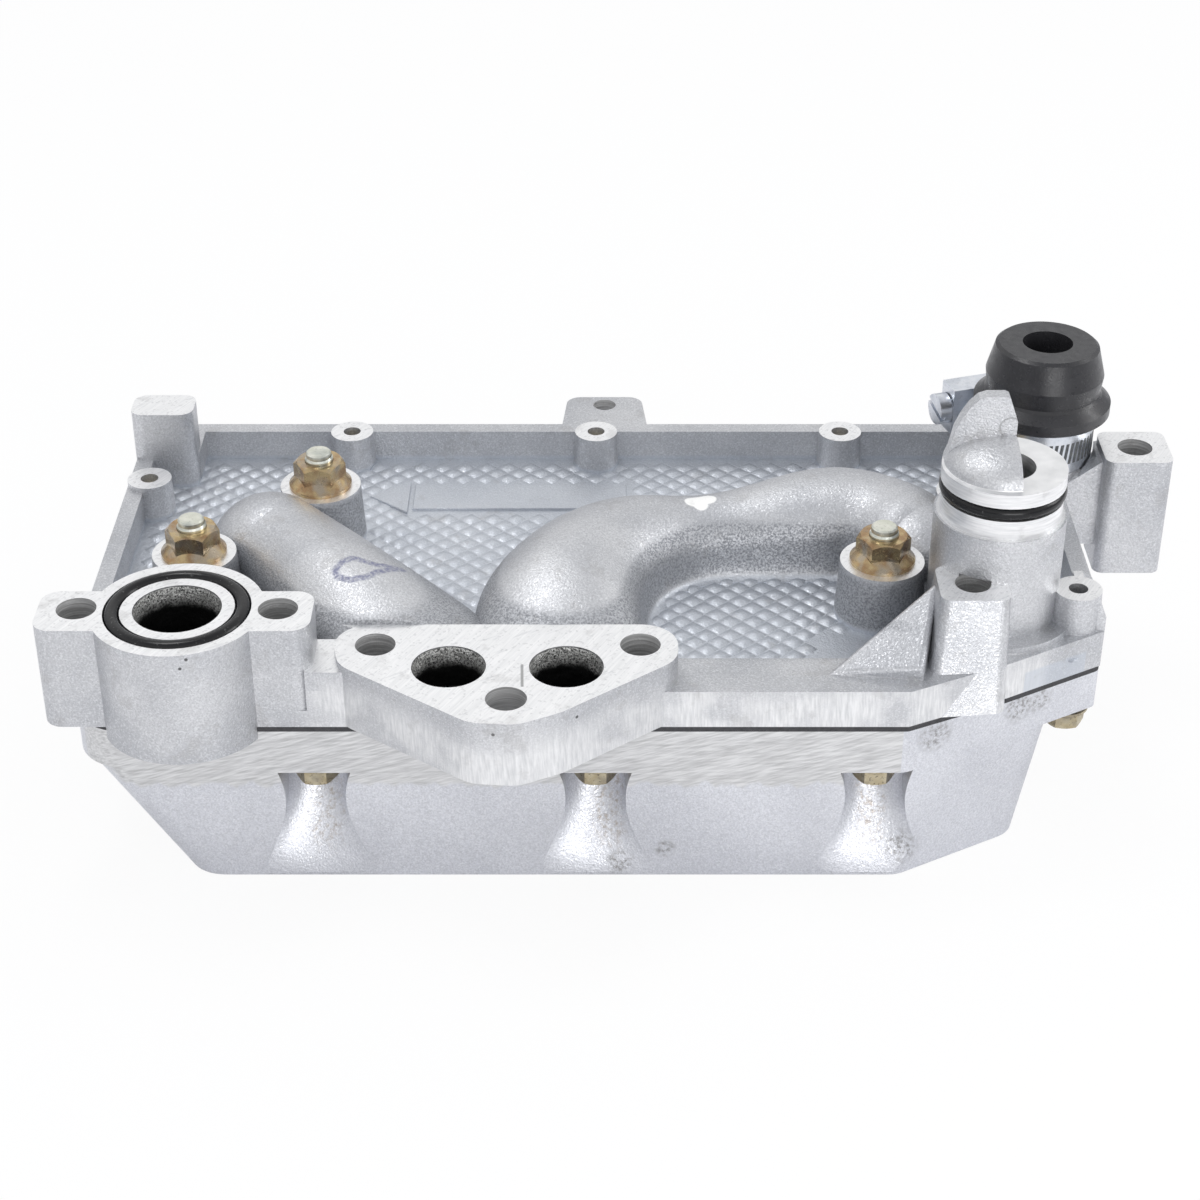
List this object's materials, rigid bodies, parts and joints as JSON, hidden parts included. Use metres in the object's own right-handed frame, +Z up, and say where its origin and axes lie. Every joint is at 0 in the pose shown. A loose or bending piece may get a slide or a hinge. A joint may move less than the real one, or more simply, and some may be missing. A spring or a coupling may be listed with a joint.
{
  "type": "oil cooler",
  "caption": "Flat cast oil cooler: deep tub cover below, ribbed tray housing with two bent oil galleries, triangular oil flange, round water port, sealed spigot and rubber boot above.",
  "frame": {"origin": "on the cover's flat underside, under the middle of the cooler core", "axes": "+X along the tray towards the spigot and boot, +Y towards the straight rear wall, +Z up from the cover to the mounting faces"},
  "size_m": [0.3093, 0.1856, 0.124],
  "materials": {
    "cast_housing": "as cast, machined faces bright",
    "cast_cover": "as cast, bluish grey",
    "core": "brazed, satin",
    "gasket": "matte",
    "seal": "glossy",
    "boot": "satin",
    "stud": "zinc plated, greenish",
    "nut": "yellow zinc plated",
    "bolt": "zinc plated",
    "clamp": "bright zinc"
  },
  "bodies": {
    "root": {"cover": "cast_cover", "housing_gasket": "gasket", "housing": "cast_housing", "core_mounting_plate": "core", "core_cell_1": "core", "core_cell_2": "core", "core_cell_3": "core", "core_cell_4": "core", "core_cell_5": "core", "core_cell_6": "core", "core_end_plate": "core", "core_seal_left": "seal", "core_seal_right": "seal", "core_stud_1": "stud", "core_stud_2": "stud", "core_stud_3": "stud", "core_stud_4": "stud", "flange_nut_1": "nut", "flange_nut_2": "nut", "flange_nut_3": "nut", "flange_nut_4": "nut", "cover_bolt_1": "bolt", "cover_bolt_2": "bolt", "cover_bolt_3": "bolt", "cover_bolt_4": "bolt", "cover_bolt_5": "bolt", "cover_bolt_6": "bolt", "cover_bolt_7": "bolt", "cover_bolt_8": "bolt", "cover_bolt_9": "bolt", "cover_bolt_10": "bolt", "port_seal": "seal", "spigot_seal": "seal", "rubber_boot": "boot", "clamp_band": "clamp", "clamp_housing": "clamp", "clamp_screw": "clamp"}
  },
  "joints": []
}
